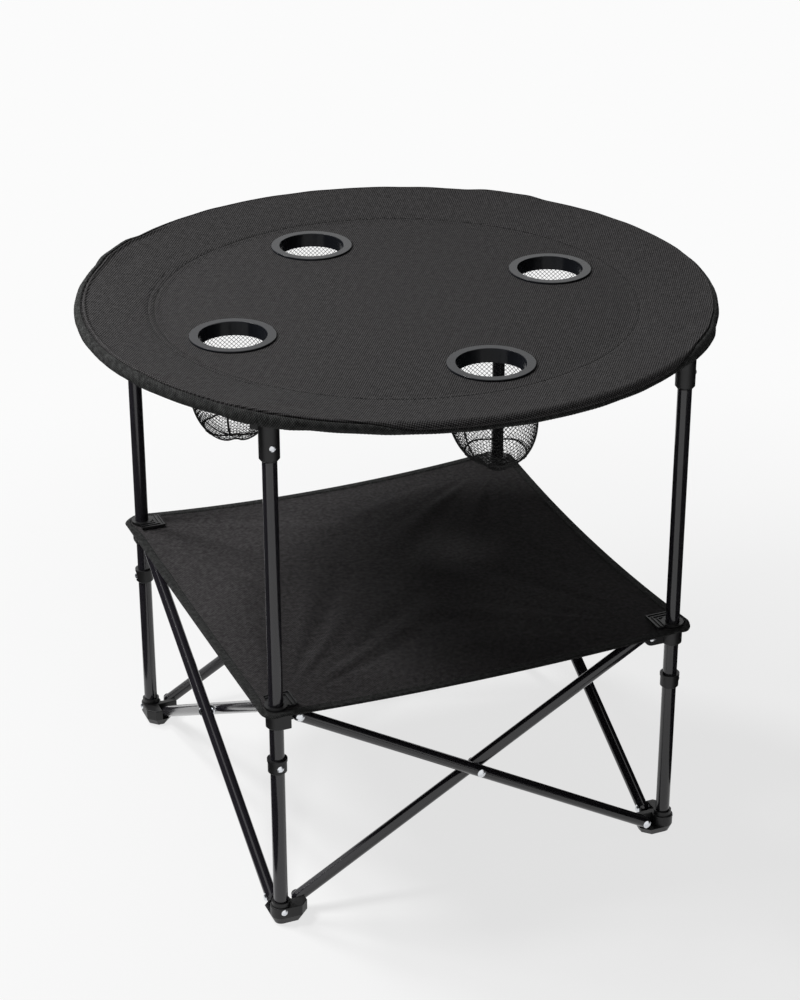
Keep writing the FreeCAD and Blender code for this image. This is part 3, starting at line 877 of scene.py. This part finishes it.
def wallPoint(turn, share):
    radii, heights, steps = wallLine()
    reach = np.interp(share * steps[-1], steps, radii)
    height = np.interp(share * steps[-1], steps, heights)
    return polar(reach, turn, height)


# the side seams all lie towards the same side, away from the middle of the view
def seamTurn(i):
    first, step = pocket["sideSeam"]
    return math.radians(first + step * i)


def sideNet(i):
    piece = addGrid("sideNet", pocket["columns"], pocket["rows"])
    makeLattice(piece)
    across, along = gridShares(piece)
    writeCoords(piece, slump(wallPoint(2 * math.pi * across + seamTurn(i), along), i))
    mergeDoubles(piece)
    return piece


def bottomNet(i):
    cells = 2 * int(math.ceil(pocket["seam"] / pocket["cell"]))
    piece = addGrid("bottomNet", cells, cells)
    makeLattice(piece)
    across, along = gridShares(piece)
    side = cells * pocket["cell"]
    coords = np.stack([(across - 0.5) * side, (along - 0.5) * side, 0 * across], 1)
    c, s = math.cos(pocket["netTurn"] + i), math.sin(pocket["netTurn"] + i)
    writeCoords(piece, coords @ np.array([[c, s, 0], [-s, c, 0], [0, 0, 1]]))
    deleteFaces(piece, lambda c: np.hypot(c[:, 0], c[:, 1]) > pocket["seam"] + pocket["netOver"])
    coords = readCoords(piece)
    coords[:, 2] = pocketHeight(np.hypot(coords[:, 0], coords[:, 1]))
    writeCoords(piece, slump(coords, i))
    return piece


def pocketNet(i):
    piece = joinPieces([sideNet(i), bottomNet(i)], sides[i] + "_pocket_net")
    strands = piece.modifiers.new("strands", "WIREFRAME")
    strands.thickness = pocket["thread"]
    strands.use_even_offset = False
    strands.use_boundary = True
    strands.use_replace = True
    applyModifiers(piece)
    return piece


# band from under the cup ring, over the net's upper edge
def hemBand(i):
    piece = addGrid("hemBand", *pocket["hemGrid"])
    across, along = gridShares(piece)
    outward, down = np.clip(along * 2, 0, 1), np.clip(along * 2 - 1, 0, 1)
    reach = pocket["ring"] + (pocket["hem"] + pocket["hemEase"] - pocket["ring"]) * outward
    height = pocket["top"] - pocket["hemDrop"] - pocket["hemDepth"] * down
    writeCoords(piece, slump(polar(reach, 2 * math.pi * across, height), i))
    mergeDoubles(piece)
    thicken(piece, pocket["hemWall"], 0.0)
    return piece


def bottomSeam(i):
    piece = addGrid("bottomSeam", *pocket["seamGrid"])
    across, along = gridShares(piece)
    turn, wrap = 2 * math.pi * across, 2 * math.pi * along
    size = pocket["cord"] * (1 + 0.3 * np.sin(turn * 31))
    coords = slump(polar(pocket["seam"], turn, pocketHeight(pocket["seam"])), i)
    coords = coords + polar(1, turn, 0) * (size * np.cos(wrap))[:, None]
    coords[:, 2] += size * np.sin(wrap)
    writeCoords(piece, coords)
    mergeDoubles(piece)
    return piece


def sideSeam(i):
    piece = addGrid("sideSeam", *pocket["sideGrid"])
    across, along = gridShares(piece)
    heading = seamTurn(i)
    wrap = 2 * math.pi * across
    outward = np.array([math.cos(heading), math.sin(heading), 0])
    sideways = np.array([-math.sin(heading), math.cos(heading), 0])
    ring = np.cos(wrap)[:, None] * outward + 1.5 * np.sin(wrap)[:, None] * sideways
    writeCoords(piece, slump(wallPoint(0 * along + heading, along), i) + pocket["cord"] * ring)
    mergeDoubles(piece)
    return piece


for i in range(4):
    pieces = [pocketNet(i), hemBand(i), bottomSeam(i), sideSeam(i)]
    for piece in pieces[1:]:
        faceOutwards(piece)
    net = joinPieces(pieces, sides[i] + "_pocket_net")
    dress(net, netThread, sides[i] + "_cup", 80)
    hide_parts(sides[i] + "_cup_pocket")
    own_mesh(net)
print("net pockets made")


# floor, light and camera
stage = {
    "white": 0.965, "skyBack": 0.17, "skyFront": 0.05, "skyTowards": (-0.35, 0.8, 0.45),
    "floorSize": 60, "floor": 0.9, "floorGlow": 0.76,
    "floorMiddle": (0.15, -0.1, 0.0), "nearFloor": 0.3, "farFloor": 1.4,
    "sunHeading": (0.337, -0.515, -1.0), "sunStrength": 1.15, "sunAngle": 10.0,
    "box": (-1.05, 0.28, 1.45), "boxAim": (0.0, 0.0, 0.5), "boxSize": 0.35, "boxPower": 15.5,
    "cardTone": 0.004,
    "cards": [((-3.0, -0.45, 0.0015), (-0.34, 1.6, 0.0015)), ((0.34, -1.6, 0.0015), (3.0, 0.75, 0.0015)),
              ((-1.7, -0.5, 0.0), (-1.7, 1.8, 2.2)), ((1.3, -1.6, 0.0), (1.3, 1.0, 2.2))],
}


# true for the rays that see the backdrop: the camera's, and those off gloss and through glass
def backdropShare(tree):
    path = addNode(tree, "ShaderNodeLightPath")
    seen = math2(tree, "MAXIMUM", path.outputs["Is Camera Ray"], path.outputs["Is Glossy Ray"])
    return math2(tree, "MAXIMUM", seen, path.outputs["Is Transmission Ray"])


def makeFloor():
    deselectAll()
    bpy.ops.mesh.primitive_plane_add(size=stage["floorSize"])
    floor = bpy.context.object
    floor.name = "floor"
    material, tree, shader = newMaterial("paleFloor")
    shader.inputs["Base Color"].default_value = (stage["floor"],) * 3 + (1,)
    shader.inputs["Roughness"].default_value = 0.9
    shader.inputs["Specular IOR Level"].default_value = 0.0
    glow = addNode(tree, "ShaderNodeEmission")
    glow.inputs["Color"].default_value = (stage["white"],) * 3 + (1,)
    mix = addNode(tree, "ShaderNodeMixShader")
    place = addNode(tree, "ShaderNodeTexCoord")
    away = addNode(tree, "ShaderNodeVectorMath", operation="DISTANCE")
    away.inputs[1].default_value = stage["floorMiddle"]
    tree.links.new(place.outputs["Object"], away.inputs[0])
    far = addNode(tree, "ShaderNodeMapRange", interpolation_type="SMOOTHSTEP")
    far.inputs["From Min"].default_value = stage["nearFloor"]
    far.inputs["From Max"].default_value = stage["farFloor"]
    far.inputs["To Min"].default_value = stage["floorGlow"]
    tree.links.new(away.outputs["Value"], far.inputs["Value"])
    share = math2(tree, "MULTIPLY", backdropShare(tree), far.outputs[0])
    tree.links.new(share, mix.inputs[0])
    tree.links.new(shader.outputs[0], mix.inputs[1])
    tree.links.new(glow.outputs[0], mix.inputs[2])
    tree.links.new(mix.outputs[0], tree.nodes["Material Output"].inputs["Surface"])
    floor.data.materials.append(material)


def makeWorld():
    world = bpy.data.worlds.new("studio")
    bpy.context.scene.world = world
    world.use_nodes = True
    tree = world.node_tree
    light = tree.nodes["Background"]
    place = addNode(tree, "ShaderNodeTexCoord")
    facing = addNode(tree, "ShaderNodeVectorMath", operation="DOT_PRODUCT")
    facing.inputs[1].default_value = stage["skyTowards"]
    tree.links.new(place.outputs["Generated"], facing.inputs[0])
    level = addNode(tree, "ShaderNodeMapRange")
    level.inputs["From Min"].default_value = -1.0
    level.inputs["To Min"].default_value = stage["skyFront"]
    level.inputs["To Max"].default_value = stage["skyBack"]
    tree.links.new(facing.outputs["Value"], level.inputs["Value"])
    tree.links.new(level.outputs[0], light.inputs["Color"])
    seen = addNode(tree, "ShaderNodeBackground")
    seen.inputs["Color"].default_value = (stage["white"],) * 3 + (1,)
    mix = addNode(tree, "ShaderNodeMixShader")
    tree.links.new(backdropShare(tree), mix.inputs[0])
    tree.links.new(light.outputs[0], mix.inputs[1])
    tree.links.new(seen.outputs[0], mix.inputs[2])
    tree.links.new(mix.outputs[0], tree.nodes["World Output"].inputs["Surface"])


def addLight(name, kind, energy, heading):
    light = bpy.data.lights.new(name, kind)
    light.energy = energy
    holder = bpy.data.objects.new(name, light)
    bpy.context.scene.collection.objects.link(holder)
    holder.rotation_mode = "QUATERNION"
    holder.rotation_quaternion = Vector(heading).to_track_quat("-Z", "Y")
    return holder


def makeLights():
    sun = addLight("sun", "SUN", stage["sunStrength"], stage["sunHeading"])
    sun.data.angle = math.radians(stage["sunAngle"])
    heading = Vector(stage["boxAim"]) - Vector(stage["box"])
    box = addLight("softBox", "AREA", stage["boxPower"], heading)
    box.data.size = stage["boxSize"]
    box.location = stage["box"]
    box.visible_camera = False
    box.visible_glossy = False


# black cards on the floor and beside the set, seen only in reflections, for dark edges on shiny tubes
def makeCards():
    material, tree, shader = newMaterial("blackCard")
    shader.inputs["Base Color"].default_value = (stage["cardTone"],) * 3 + (1,)
    shader.inputs["Roughness"].default_value = 1.0
    for index, (low, high) in enumerate(stage["cards"]):
        card = addGrid("card" + str(index), 1, 1)
        across, along = gridShares(card)
        share = across if high[0] > low[0] else 0 * along
        rise = across if high[2] > low[2] else 0 * along
        shares = np.stack([share, along, rise], 1)
        writeCoords(card, np.array(low) + (np.array(high) - np.array(low)) * shares)
        card.data.materials.append(material)
        card.visible_camera = False
        card.visible_diffuse = False
        card.visible_shadow = False
        card.visible_transmission = False


view = {
    "place": (-1.00529, -2.42936, 1.65925), "forward": (0.34435, 0.82875, -0.44113),
    "up": (0.17005, 0.40704, 0.89744), "lens": 91.03, "sensor": 36.0,
}


def makeCamera():
    lens = bpy.data.cameras.new("camera")
    lens.lens = view["lens"]
    lens.sensor_width = view["sensor"]
    lens.clip_end = 200.0
    camera = bpy.data.objects.new("camera", lens)
    bpy.context.scene.collection.objects.link(camera)
    forward, up = Vector(view["forward"]).normalized(), Vector(view["up"]).normalized()
    right = forward.cross(up)
    turn = Matrix((right, up, -forward)).transposed().to_4x4()
    camera.matrix_world = Matrix.Translation(view["place"]) @ turn
    bpy.context.scene.camera = camera


makeFloor()
makeWorld()
makeLights()
makeCards()
makeCamera()
bpy.context.scene.view_settings.view_transform = "Standard"
print("stage set")
